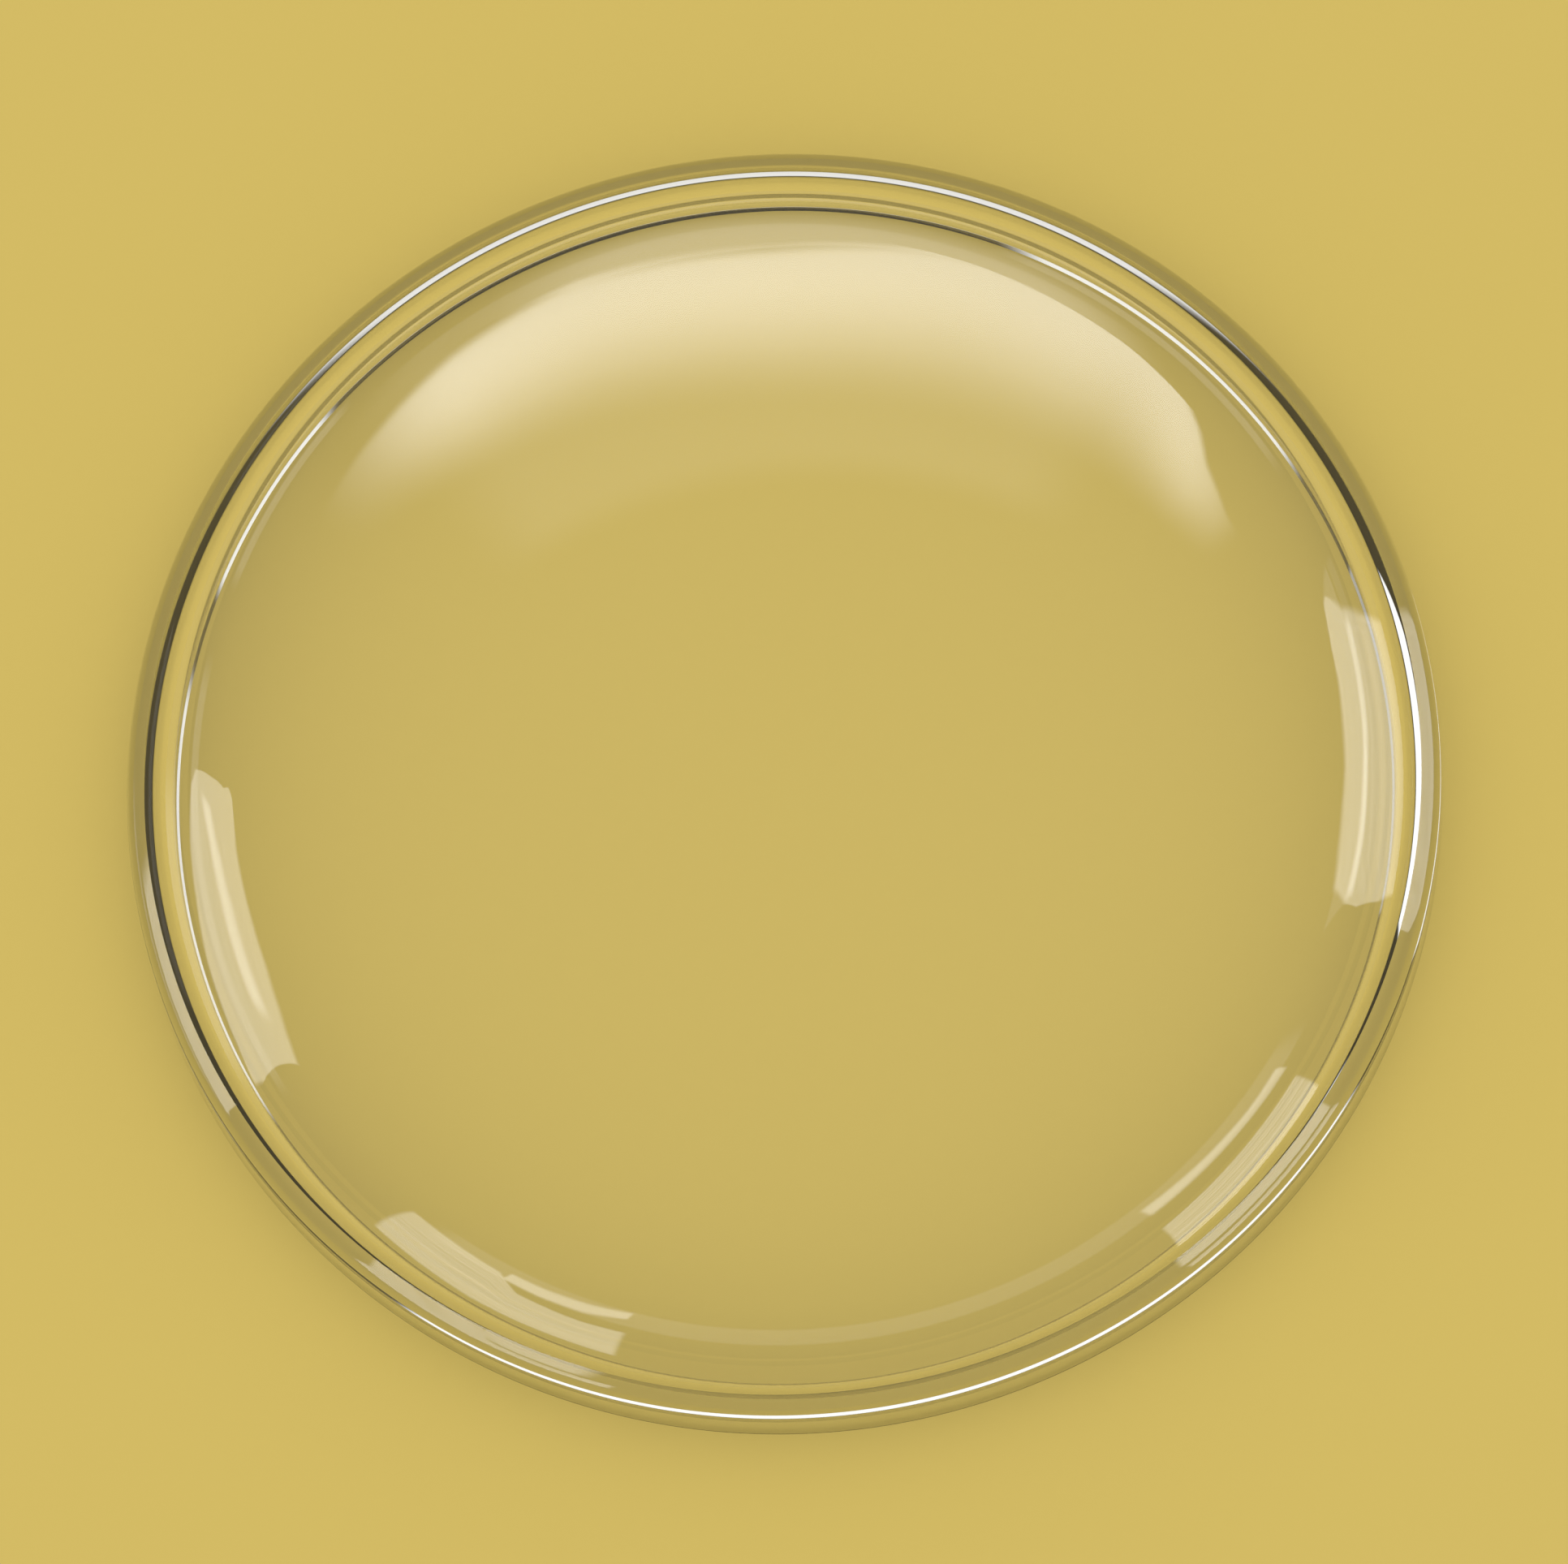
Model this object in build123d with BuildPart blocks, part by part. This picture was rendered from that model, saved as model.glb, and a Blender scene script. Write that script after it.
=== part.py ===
from build123d import *
import math
import os

# Domed watch crystal, moulded in one piece from clear acrylic.
# Millimetres. The origin is the middle of the foot, where the crystal stands, and +Z runs up
# through the middle of the dome.

# Rim: the upright wall that is pressed into the case
rim_diameter = 31.53
rim_height = 1.70
rim_edge_radius = 0.57

# Ledge: the narrow slope from the rim in to the dome, which the lip of a bezel covers
ledge_width = 0.45
ledge_rise = 0.30

# Foot: the underside of the wall is bevelled, so that the crystal stands on its outer edge
foot_width = 0.05
foot_bevel_height = 0.25

# Wall: what is left between the rim and the bore, which goes round the dial
wall_thickness = 1.01

# Dome: a shallow crown with a tighter shoulder round it, above the ledge. The drop is how far
# below the crown's own curve, carried on outwards, the shoulder comes down to the ledge.
crown_radius = 46.7
shoulder_radius = 4.12
shoulder_drop = 0.88735

# Hollow: the dome's underside and the round corner where it meets the bore
dome_thickness = 0.86
inner_crown_radius = 43.6
inner_corner_radius = 2.25

rim_radius = rim_diameter / 2
bore_radius = rim_radius - wall_thickness
ledge_radius = rim_radius - ledge_width
ledge_height = rim_height + ledge_rise
crown_fall = crown_radius - math.sqrt(crown_radius**2 - ledge_radius**2)
overall_height = ledge_height + shoulder_drop + crown_fall
inner_height = overall_height - dome_thickness

# The shoulder's arc starts at the ledge and runs into the crown's. Its centre is where the two
# radii reach from both: the third corner of a triangle with the crown's centre and the ledge.
crown_centre_height = overall_height - crown_radius
shoulder_reach = crown_radius - shoulder_radius
ledge_reach = math.hypot(ledge_radius, ledge_height - crown_centre_height)
ledge_bearing = math.atan2(ledge_radius, ledge_height - crown_centre_height)
triangle_angle = math.acos(
    (ledge_reach**2 + shoulder_reach**2 - shoulder_radius**2) / (2 * ledge_reach * shoulder_reach)
)
crown_slope = ledge_bearing - triangle_angle
shoulder_centre_radius = shoulder_reach * math.sin(crown_slope)
shoulder_slope = math.asin((ledge_radius - shoulder_centre_radius) / shoulder_radius)

inner_crown_slope = math.asin(bore_radius / inner_crown_radius)

# The bore's wall limits the inner corner. The longest arc that fits runs from the underside of
# the dome right down to the foot's bevel, and the corner takes no more than a share of it.
corner_limit_share = 0.95
bevel_depth = inner_crown_radius - inner_height + foot_bevel_height
widest_corner = (inner_crown_radius**2 - bore_radius**2 - bevel_depth**2) / (
    2 * (inner_crown_radius - bore_radius)
)
corner_radius = min(inner_corner_radius, corner_limit_share * widest_corner)

with BuildPart() as crystal:
    # Half of the cross-section: the outside from the dome's apex down to the foot, then the inside
    with BuildSketch(Plane.XZ):
        with BuildLine():
            crown = JernArc((0, overall_height), (1, 0), crown_radius, -math.degrees(crown_slope))
            shoulder_turn = -math.degrees(shoulder_slope - crown_slope)
            shoulder = JernArc(crown @ 1, crown % 1, shoulder_radius, shoulder_turn)
            inner_crown = JernArc(
                (0, inner_height), (1, 0), inner_crown_radius, -math.degrees(inner_crown_slope)
            )
            Polyline(
                shoulder @ 1,
                (rim_radius, rim_height),
                (rim_radius, 0),
                (rim_radius - foot_width, 0),
                (bore_radius, foot_bevel_height),
                inner_crown @ 1,
            )
            Line((0, inner_height), (0, overall_height))
        make_face()
        # The rim's rounded top edge and the inner corner. In the sketch's own plane Y is the
        # height and X the distance from the axis.
        rim_edge = vertices().group_by(Axis.X)[-1].sort_by(Axis.Y)[-1]
        fillet(rim_edge, radius=rim_edge_radius)
        inner_corner = vertices().sort_by_distance(inner_crown @ 1)[0]
        fillet(inner_corner, radius=corner_radius)
    revolve(axis=Axis.Z)

crystal.part.label = "crystal"

os.makedirs("parts", exist_ok=True)
export_step(crystal.part, "parts/crystal.step")
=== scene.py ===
import bpy
import math
from mathutils import Matrix, Vector


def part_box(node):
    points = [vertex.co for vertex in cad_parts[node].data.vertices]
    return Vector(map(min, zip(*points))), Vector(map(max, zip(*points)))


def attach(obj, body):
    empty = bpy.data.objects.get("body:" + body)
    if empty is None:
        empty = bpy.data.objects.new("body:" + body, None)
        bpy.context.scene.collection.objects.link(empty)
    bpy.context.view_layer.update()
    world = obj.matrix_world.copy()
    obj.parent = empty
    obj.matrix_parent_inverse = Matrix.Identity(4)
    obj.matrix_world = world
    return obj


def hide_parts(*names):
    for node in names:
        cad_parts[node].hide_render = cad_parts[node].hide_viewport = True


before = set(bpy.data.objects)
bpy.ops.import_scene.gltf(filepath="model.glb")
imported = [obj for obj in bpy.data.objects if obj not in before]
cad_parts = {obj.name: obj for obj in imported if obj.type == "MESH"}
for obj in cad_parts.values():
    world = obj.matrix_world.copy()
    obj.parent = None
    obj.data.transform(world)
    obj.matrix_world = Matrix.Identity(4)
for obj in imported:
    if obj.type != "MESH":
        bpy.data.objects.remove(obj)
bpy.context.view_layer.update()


# The crystal: a shallow dome whose shoulder comes down to a narrow ledge and an upright rim, all
# moulded in one piece from clear acrylic. Its surfaces are rings round one axis, and the press fit
# of its rim alone holds it in a case.
MM = 0.001
crystal_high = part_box("crystal")[1]
RIM_RADIUS = crystal_high.x / MM
DOME_TOP = crystal_high.z / MM
RIM_HEIGHT = 1.70
RIM_EDGE_RADIUS = 0.57
LEDGE_WIDTH = 0.45
LEDGE_RISE = 0.30
FOOT_WIDTH = 0.05
FOOT_BEVEL_HEIGHT = 0.25
BORE_RADIUS = 14.755
CROWN_RADIUS = 46.7
SHOULDER_RADIUS = 4.12
DOME_THICKNESS = 0.86
INNER_CROWN_RADIUS = 43.6
INNER_CORNER_RADIUS = 2.25
TURNS = 720
CROWN_STEPS = 60
CORNER_STEPS = 48
EDGE_STEPS = 24


def arc_points(centre, radius, start, end, steps):
    """Points of an arc in the section plane, between two slopes given in radians off level."""
    slopes = [start + (end - start) * i / steps for i in range(steps + 1)]
    return [(centre[0] + radius * math.sin(s), centre[1] + radius * math.cos(s)) for s in slopes]


def crown_and_corner(top, crown_radius, corner_centre, corner_radius, last_slope):
    """One side of the dome, from near its axis out to the end of the arc that turns it down."""
    meeting = math.asin(corner_centre[0] / (crown_radius - corner_radius))
    first_step = meeting / CROWN_STEPS
    crown_centre = (0.0, top - crown_radius)
    crown = arc_points(crown_centre, crown_radius, first_step, meeting, CROWN_STEPS - 1)
    return crown + arc_points(corner_centre, corner_radius, meeting, last_slope, CORNER_STEPS)[1:]


def turned_mesh(name, section, sharp_rings, top, under):
    """A closed body of revolution, whose section runs from the top's middle to the underside's."""
    vertices = []
    for radius, height in section:
        for k in range(TURNS):
            angle = 2 * math.pi * k / TURNS
            across, along = radius * math.cos(angle), radius * math.sin(angle)
            vertices.append(Vector((across, along, height)) * MM)
    faces = []
    for i in range(len(section) - 1):
        upper, lower = i * TURNS, (i + 1) * TURNS
        for k in range(TURNS):
            after = (k + 1) % TURNS
            faces.append((upper + k, lower + k, lower + after, upper + after))
    top_point = len(vertices)
    under_point = top_point + 1
    vertices.append(Vector((0, 0, top)) * MM)
    vertices.append(Vector((0, 0, under)) * MM)
    last = (len(section) - 1) * TURNS
    for k in range(TURNS):
        after = (k + 1) % TURNS
        faces.append((top_point, k, after))
        faces.append((under_point, last + after, last + k))
    mesh = bpy.data.meshes.new(name)
    mesh.from_pydata(vertices, [], faces)
    mesh.polygons.foreach_set("use_smooth", [True] * len(faces))
    for edge in mesh.edges:
        first, second = edge.vertices
        if max(first, second) < top_point and first // TURNS == second // TURNS:
            edge.use_edge_sharp = first // TURNS in sharp_rings
    mesh.update()
    return mesh


# The outside: crown and shoulder down to the ledge. The shoulder's centre is where its own radius
# and the crown's both reach, the third corner of a triangle with the crown's centre and the ledge.
ledge_start = (RIM_RADIUS - LEDGE_WIDTH, RIM_HEIGHT + LEDGE_RISE)
crown_centre_height = DOME_TOP - CROWN_RADIUS
shoulder_reach = CROWN_RADIUS - SHOULDER_RADIUS
ledge_reach = math.hypot(ledge_start[0], ledge_start[1] - crown_centre_height)
cosine = ledge_reach**2 + shoulder_reach**2 - SHOULDER_RADIUS**2
cosine /= 2 * ledge_reach * shoulder_reach
bearing = math.asin(ledge_start[0] / ledge_reach) - math.acos(cosine)
shoulder_out = shoulder_reach * math.sin(bearing)
shoulder_centre = (shoulder_out, crown_centre_height + shoulder_reach * math.cos(bearing))
shoulder_end = math.asin((ledge_start[0] - shoulder_out) / SHOULDER_RADIUS)
dome = crown_and_corner(DOME_TOP, CROWN_RADIUS, shoulder_centre, SHOULDER_RADIUS, shoulder_end)

# The round edge between the ledge and the rim's wall
ledge_slope = math.atan(LEDGE_RISE / LEDGE_WIDTH)
edge_drop = RIM_EDGE_RADIUS * math.tan((math.pi / 2 - ledge_slope) / 2)
edge_centre = (RIM_RADIUS - RIM_EDGE_RADIUS, RIM_HEIGHT - edge_drop)
rim_edge = arc_points(edge_centre, RIM_EDGE_RADIUS, ledge_slope, math.pi / 2, EDGE_STEPS)

# The foot's narrow land and its bevel
foot = [
    (RIM_RADIUS, 0.0),
    (RIM_RADIUS - FOOT_WIDTH, 0.0),
    (BORE_RADIUS, FOOT_BEVEL_HEIGHT),
]

# The hollow: the dome's underside and the round corner that runs down into the bore
inner_top = DOME_TOP - DOME_THICKNESS
inner_reach = INNER_CROWN_RADIUS - INNER_CORNER_RADIUS
corner_out = BORE_RADIUS - INNER_CORNER_RADIUS
corner_height = inner_top - INNER_CROWN_RADIUS + math.sqrt(inner_reach**2 - corner_out**2)
inner_corner = (corner_out, corner_height)
hollow = crown_and_corner(
    inner_top, INNER_CROWN_RADIUS, inner_corner, INNER_CORNER_RADIUS, math.pi / 2
)

# The whole section turned into a mesh, sharp where the shoulder ends and round the land and bevel
outside = dome + rim_edge
section = outside + foot + hollow[::-1]
foot_ring = len(outside)
sharp_rings = {len(dome) - 1, foot_ring, foot_ring + 1, foot_ring + 2}
crystal_mesh = turned_mesh("crystal_body", section, sharp_rings, DOME_TOP, inner_top)
crystal = bpy.data.objects.new("crystal_body", crystal_mesh)
bpy.context.scene.collection.objects.link(crystal)
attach(crystal, "root")
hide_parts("crystal")

# Its material: polished acrylic. Light from the room passes straight on to the card below, but
# weaker towards the wall, which bends it aside and so casts the ring of shade round the crystal.
CLEAR_TINT = (0.985, 0.990, 0.985, 1.0)
ACRYLIC_IOR = 1.49
POLISH_ROUGHNESS = 0.01
WALL_SHADE = 0.7
clear_acrylic = bpy.data.materials.new("clear_acrylic")
clear_acrylic.use_nodes = True
nodes, links = clear_acrylic.node_tree.nodes, clear_acrylic.node_tree.links
body = nodes["Principled BSDF"]
body.inputs["Base Color"].default_value = CLEAR_TINT
body.inputs["IOR"].default_value = ACRYLIC_IOR
body.inputs["Transmission Weight"].default_value = 1.0
body.inputs["Roughness"].default_value = POLISH_ROUGHNESS
place = nodes.new("ShaderNodeTexCoord")
flat_place = nodes.new("ShaderNodeVectorMath")
flat_place.operation = "MULTIPLY"
flat_place.inputs[1].default_value = (1.0, 1.0, 0.0)
from_axis = nodes.new("ShaderNodeVectorMath")
from_axis.operation = "LENGTH"
fade = nodes.new("ShaderNodeMapRange")
fade.interpolation_type = "SMOOTHSTEP"
fade.inputs["From Min"].default_value = (BORE_RADIUS - INNER_CORNER_RADIUS) * MM
fade.inputs["From Max"].default_value = RIM_RADIUS * MM
fade.inputs["To Min"].default_value = 1.0
fade.inputs["To Max"].default_value = WALL_SHADE
passed_light = nodes.new("ShaderNodeBsdfTransparent")
rays = nodes.new("ShaderNodeLightPath")
towards_card = nodes.new("ShaderNodeMath")
towards_card.operation = "MAXIMUM"
mix = nodes.new("ShaderNodeMixShader")
links.new(place.outputs["Object"], flat_place.inputs[0])
links.new(flat_place.outputs["Vector"], from_axis.inputs[0])
links.new(from_axis.outputs["Value"], fade.inputs["Value"])
links.new(fade.outputs["Result"], passed_light.inputs["Color"])
links.new(rays.outputs["Is Shadow Ray"], towards_card.inputs[0])
links.new(rays.outputs["Is Diffuse Ray"], towards_card.inputs[1])
links.new(towards_card.outputs["Value"], mix.inputs["Fac"])
links.new(body.outputs["BSDF"], mix.inputs[1])
links.new(passed_light.outputs["BSDF"], mix.inputs[2])
links.new(mix.outputs["Shader"], nodes["Material Output"].inputs["Surface"])
crystal_mesh.materials.append(clear_acrylic)


# The table: a broad sheet of pale card that the crystal lies on, dome up. The crystal stands
# on the ring of its foot, a hair's breadth of air between the two.
CARD_HALF_WIDTH = 1.5
AIR_GAP = 0.00001
CARD_COLOUR = (0.660, 0.500, 0.130, 1.0)
CARD_ROUGHNESS = 0.9
card_mesh = bpy.data.meshes.new("card")
card_corners = [(-1, -1), (1, -1), (1, 1), (-1, 1)]
card_mesh.from_pydata(
    [(x * CARD_HALF_WIDTH, y * CARD_HALF_WIDTH, -AIR_GAP) for x, y in card_corners],
    [],
    [(0, 1, 2, 3)],
)
card = bpy.data.objects.new("card", card_mesh)
bpy.context.scene.collection.objects.link(card)
card_material = bpy.data.materials.new("pale_card")
card_material.use_nodes = True
card_body = card_material.node_tree.nodes["Principled BSDF"]
card_body.inputs["Base Color"].default_value = CARD_COLOUR
card_body.inputs["Roughness"].default_value = CARD_ROUGHNESS
card_body.inputs["Specular IOR Level"].default_value = 0.0
card_mesh.materials.append(card_material)


# The camera: a long lens, nearly overhead, leaning 16 degrees towards the near side and rolled
# so that the far side of the crystal is a little left of straight up.
FRAME_WIDTH, FRAME_HEIGHT = 1932, 1927
PIXELS_PER_MM = 51.3
FOOT_MIDDLE_PIXEL = (968.6, 984.4)
CAMERA_HEIGHT_ANGLE = math.radians(73.8)
CAMERA_ROLL = math.radians(10.0)
CAMERA_DISTANCE = 0.65
SENSOR_WIDTH = 36.0
NEAREST_SEEN = 0.01
camera_data = bpy.data.cameras.new("camera")
camera = bpy.data.objects.new("camera", camera_data)
bpy.context.scene.collection.objects.link(camera)
bpy.context.scene.camera = camera
towards_camera = Vector((0, -math.cos(CAMERA_HEIGHT_ANGLE), math.sin(CAMERA_HEIGHT_ANGLE)))
camera.location = towards_camera * CAMERA_DISTANCE
right = (-towards_camera).cross(Vector((0, 0, 1))).normalized()
up = towards_camera.cross(right)
upright = Matrix((right, up, towards_camera)).transposed()
turned = upright @ Matrix.Rotation(-CAMERA_ROLL, 3, "Z")
camera.rotation_mode = "QUATERNION"
camera.rotation_quaternion = turned.to_quaternion()
camera_data.sensor_fit = "HORIZONTAL"
camera_data.sensor_width = SENSOR_WIDTH
camera_data.lens = PIXELS_PER_MM * (CAMERA_DISTANCE / MM) / FRAME_WIDTH * SENSOR_WIDTH
camera_data.shift_x = (FRAME_WIDTH / 2 - FOOT_MIDDLE_PIXEL[0]) / FRAME_WIDTH
camera_data.shift_y = (FOOT_MIDDLE_PIXEL[1] - FRAME_HEIGHT / 2) / FRAME_WIDTH
camera_data.clip_start = NEAREST_SEEN


# The light: an even room light for the card, and soft boxes round the table for the acrylic. The
# mirror boxes show only as pale patches on the polished surfaces, and the edge boxes only in what
# is seen through the rim.
BOX_DISTANCE = 4.5
BOX_SPACING = 0.01
BOX_COLUMNS, BOX_ROWS = 60, 6
STREAK_FINENESS = 12.0
PALEST_STREAK, DARKEST_STREAK = 0.35, 0.65
CARD_LIGHT = 1.0
MIRRORED_LIGHT = 0.30
EDGE_LIGHT = 0.02
MOST_BOUNCES = 16
CARD_BOUNCES = 1

# Each box is a piece of a sphere round the crystal. It has a strength, the shares of it over which
# the light rises from its sides, its foot and its top, how streaked it is, and an outline. The
# outline is a row of directions round the crystal's middle, each with the height where the box
# starts and ends there, all in degrees.
MIRROR_BOXES = {
    "back_box": (
        7.6,
        (0.27, 0.12, 0.80),
        0.0,
        [
            (40.8, 51.0, 54.0),
            (43.5, 50.2, 54.0),
            (47.5, 48.2, 53.8),
            (52.5, 44.0, 53.4),
            (57.0, 41.3, 53.0),
            (70.0, 40.0, 52.8),
            (84.0, 40.6, 52.6),
            (98.5, 40.2, 51.4),
            (107.8, 41.6, 50.8),
            (113.0, 42.8, 50.4),
            (118.0, 44.0, 50.0),
            (124.0, 45.8, 49.6),
        ],
    ),
    "back_low_box": (2.6, (0.25, 0.90, 0.01), 0.0, [(52, 18, 41.2), (108, 18, 41.2)]),
    "left_box": (
        4.8,
        (0.02, 0.06, 0.08),
        0.10,
        [
            (147.8, 49.0, 50.6),
            (149.6, 45, 51.4),
            (151.3, 36, 51.9),
            (152.7, 24, 52.3),
            (154.4, 21, 52.8),
            (160.1, 18.5, 54.0),
            (165.8, 17, 54.0),
            (172.8, 13.5, 51.4),
            (178.8, 12, 47.5),
            (182.3, 11, 45.0),
            (187.0, 9, 14.0),
        ],
    ),
    "left_streak": (
        4.2,
        (0.08, 0.30, 0.45),
        0.0,
        [(153.8, 28, 37), (158.8, 33.0, 42.5), (163.7, 34.4, 44.5), (178, 34.4, 43.8)],
    ),
    "left_low_box": (1.4, (0.20, 0.50, 0.20), 0.0, [(152, -12, 11), (188, -12, 11)]),
    "right_box": (
        4.6,
        (0.02, 0.30, 0.06),
        0.20,
        [
            (-8.5, 10, 26.0),
            (-7.0, -8, 36.0),
            (-3.1, -8, 45.6),
            (2.6, -8, 47.4),
            (7.5, -8, 47.4),
            (11.4, -8, 46.0),
            (16.0, -8, 45.8),
            (19.9, -8, 44.6),
            (21.5, 10, 44.0),
            (23.8, 25, 43.0),
            (27.5, 37, 39.0),
        ],
    ),
    "right_streak": (
        4.6,
        (0.05, 0.45, 0.45),
        0.0,
        [(-7, 30, 36.5), (1.2, 27.8, 34.4), (6.4, 27, 33.8), (11.3, 25.4, 32), (23.6, 23.4, 30)],
    ),
    "near_left_box": (
        5.2,
        (0.03, 0.06, 0.08),
        0.35,
        [
            (206.4, 10, 38.5),
            (212.5, 9, 37.8),
            (220.2, 7.5, 36.5),
            (224.0, 8, 28),
            (232.0, 8.5, 27),
            (238.5, 8.5, 28.5),
        ],
    ),
    "near_left_streak": (
        4.8,
        (0.03, 0.30, 0.30),
        0.0,
        [(221, 31.5, 39.3), (226, 30.5, 39.8), (232, 31.5, 41.3), (237.4, 36.5, 43.5)],
    ),
    "near_right_box": (5.4, (0.03, 0.05, 0.05), 0.45, [(306.5, -1, 19.8), (331, -3.5, 20.5)]),
    "near_right_streak": (
        5.0,
        (0.03, 0.30, 0.30),
        0.0,
        [(307.0, 30, 40.3), (318.3, 29, 37), (325.5, 28.2, 35.4), (332, 27.5, 36)],
    ),
}
EDGE_BOXES = {
    "back_edge_box": (0.85, (0.15, 0.15, 0.10), 0.0, [(52, 24, 56), (118, 24, 56)]),
    "back_left_edge_box": (1.1, (0.15, 0.20, 0.20), 0.0, [(118, 4, 17), (137, 4, 17)]),
    "left_edge_box": (1.1, (0.10, 0.20, 0.20), 0.0, [(142, 4, 17), (190, 4, 17)]),
    "back_right_edge_box": (1.1, (0.15, 0.20, 0.20), 0.0, [(36, 4, 17), (68, 4, 17)]),
    "right_edge_box": (1.1, (0.03, 0.10, 0.10), 0.0, [(-8, 17, 46), (28, 17, 46)]),
    "right_low_edge_box": (0.45, (0.03, 0.20, 0.20), 0.0, [(-8, 4, 17), (28, 4, 17)]),
    "near_edge_box": (1.1, (0.04, 0.15, 0.15), 0.0, [(209, 18, 42), (338, 18, 42)]),
}


def outline_at(outline, share):
    """Direction and heights at a share of the way along a box's outline."""
    along = share * (len(outline) - 1)
    first = min(int(along), len(outline) - 2)
    return [a + (b - a) * (along - first) for a, b in zip(outline[first], outline[first + 1])]


def box_shape(name, outline, distance):
    """A piece of a sphere round the crystal, which keeps how far across and up each corner is."""
    corners, shares = [], []
    for j in range(BOX_ROWS + 1):
        for i in range(BOX_COLUMNS + 1):
            direction, low, high = outline_at(outline, i / BOX_COLUMNS)
            height = math.radians(low + (high - low) * j / BOX_ROWS)
            direction = math.radians(direction)
            out = Vector((math.cos(direction), math.sin(direction), 0)) * math.cos(height)
            corners.append((out + Vector((0, 0, math.sin(height)))) * distance)
            shares.extend((i / BOX_COLUMNS, j / BOX_ROWS, 0))
    faces = []
    for j in range(BOX_ROWS):
        for i in range(BOX_COLUMNS):
            first = j * (BOX_COLUMNS + 1) + i
            above = first + BOX_COLUMNS + 1
            faces.append((first, first + 1, above + 1, above))
    mesh = bpy.data.meshes.new(name)
    mesh.from_pydata(corners, [], faces)
    mesh.attributes.new("share", "FLOAT_VECTOR", "POINT").data.foreach_set("vector", shares)
    return mesh


def box_glow(name, strength, margins, streaks):
    """Light that rises smoothly from nothing at a box's borders and lets what is behind it show."""
    material = bpy.data.materials.new(name)
    material.use_nodes = True
    material.cycles.emission_sampling = "NONE"
    nodes, links = material.node_tree.nodes, material.node_tree.links
    nodes.clear()
    place = nodes.new("ShaderNodeAttribute")
    place.attribute_name = "share"
    share = nodes.new("ShaderNodeSeparateXYZ")
    links.new(place.outputs["Vector"], share.inputs["Vector"])
    streak = nodes.new("ShaderNodeTexNoise")
    streak.noise_dimensions = "1D"
    streak.inputs["Scale"].default_value = STREAK_FINENESS
    links.new(share.outputs["Y"], streak.inputs["W"])
    depth = nodes.new("ShaderNodeMapRange")
    depth.inputs["From Min"].default_value = PALEST_STREAK
    depth.inputs["From Max"].default_value = DARKEST_STREAK
    depth.inputs["To Min"].default_value = strength
    depth.inputs["To Max"].default_value = strength * (1.0 - streaks)
    links.new(streak.outputs["Fac"], depth.inputs["Value"])
    level = depth.outputs["Result"]
    sides, low, high = margins
    rises = [("X", 0.0, sides), ("X", 1.0, 1.0 - sides), ("Y", 0.0, low), ("Y", 1.0, 1.0 - high)]
    for axis, border, full in rises:
        step = nodes.new("ShaderNodeMapRange")
        step.interpolation_type = "SMOOTHSTEP"
        step.inputs["From Min"].default_value = border
        step.inputs["From Max"].default_value = full
        product = nodes.new("ShaderNodeMath")
        product.operation = "MULTIPLY"
        links.new(share.outputs[axis], step.inputs["Value"])
        links.new(step.outputs["Result"], product.inputs[0])
        links.new(level, product.inputs[1])
        level = product.outputs["Value"]
    emission = nodes.new("ShaderNodeEmission")
    see_through = nodes.new("ShaderNodeBsdfTransparent")
    both = nodes.new("ShaderNodeAddShader")
    output = nodes.new("ShaderNodeOutputMaterial")
    links.new(level, emission.inputs["Strength"])
    links.new(emission.outputs["Emission"], both.inputs[0])
    links.new(see_through.outputs["BSDF"], both.inputs[1])
    links.new(both.outputs["Shader"], output.inputs["Surface"])
    return material


distance = BOX_DISTANCE
for boxes, mirrored in ((MIRROR_BOXES, True), (EDGE_BOXES, False)):
    for box_name, (strength, margins, streaks, outline) in boxes.items():
        distance += BOX_SPACING
        box = bpy.data.objects.new(box_name, box_shape(box_name, outline, distance))
        bpy.context.scene.collection.objects.link(box)
        box.data.materials.append(box_glow(box_name, strength, margins, streaks))
        box.visible_camera = False
        box.visible_diffuse = False
        box.visible_glossy = mirrored
        box.visible_transmission = not mirrored

# The room: white all round for the card, dimmer where the acrylic mirrors it, and nearly dark in
# what is seen through the rim
room = bpy.data.worlds.new("room")
bpy.context.scene.world = room
room.use_nodes = True
room.cycles.sampling_method = "NONE"
nodes, links = room.node_tree.nodes, room.node_tree.links
rays = nodes.new("ShaderNodeLightPath")
level = nodes.new("ShaderNodeMapRange")
level.inputs["To Min"].default_value = CARD_LIGHT
level.inputs["To Max"].default_value = MIRRORED_LIGHT
level_at_edge = nodes.new("ShaderNodeMapRange")
level_at_edge.inputs["To Max"].default_value = EDGE_LIGHT
links.new(rays.outputs["Is Glossy Ray"], level.inputs["Value"])
links.new(rays.outputs["Is Transmission Ray"], level_at_edge.inputs["Value"])
links.new(level.outputs["Result"], level_at_edge.inputs["To Min"])
links.new(level_at_edge.outputs["Result"], nodes["Background"].inputs["Strength"])
nodes["Background"].inputs["Color"].default_value = (1.0, 1.0, 1.0, 1.0)

scene = bpy.context.scene
scene.cycles.max_bounces = MOST_BOUNCES
scene.cycles.diffuse_bounces = CARD_BOUNCES
scene.cycles.transmission_bounces = MOST_BOUNCES
scene.view_settings.view_transform = "Standard"
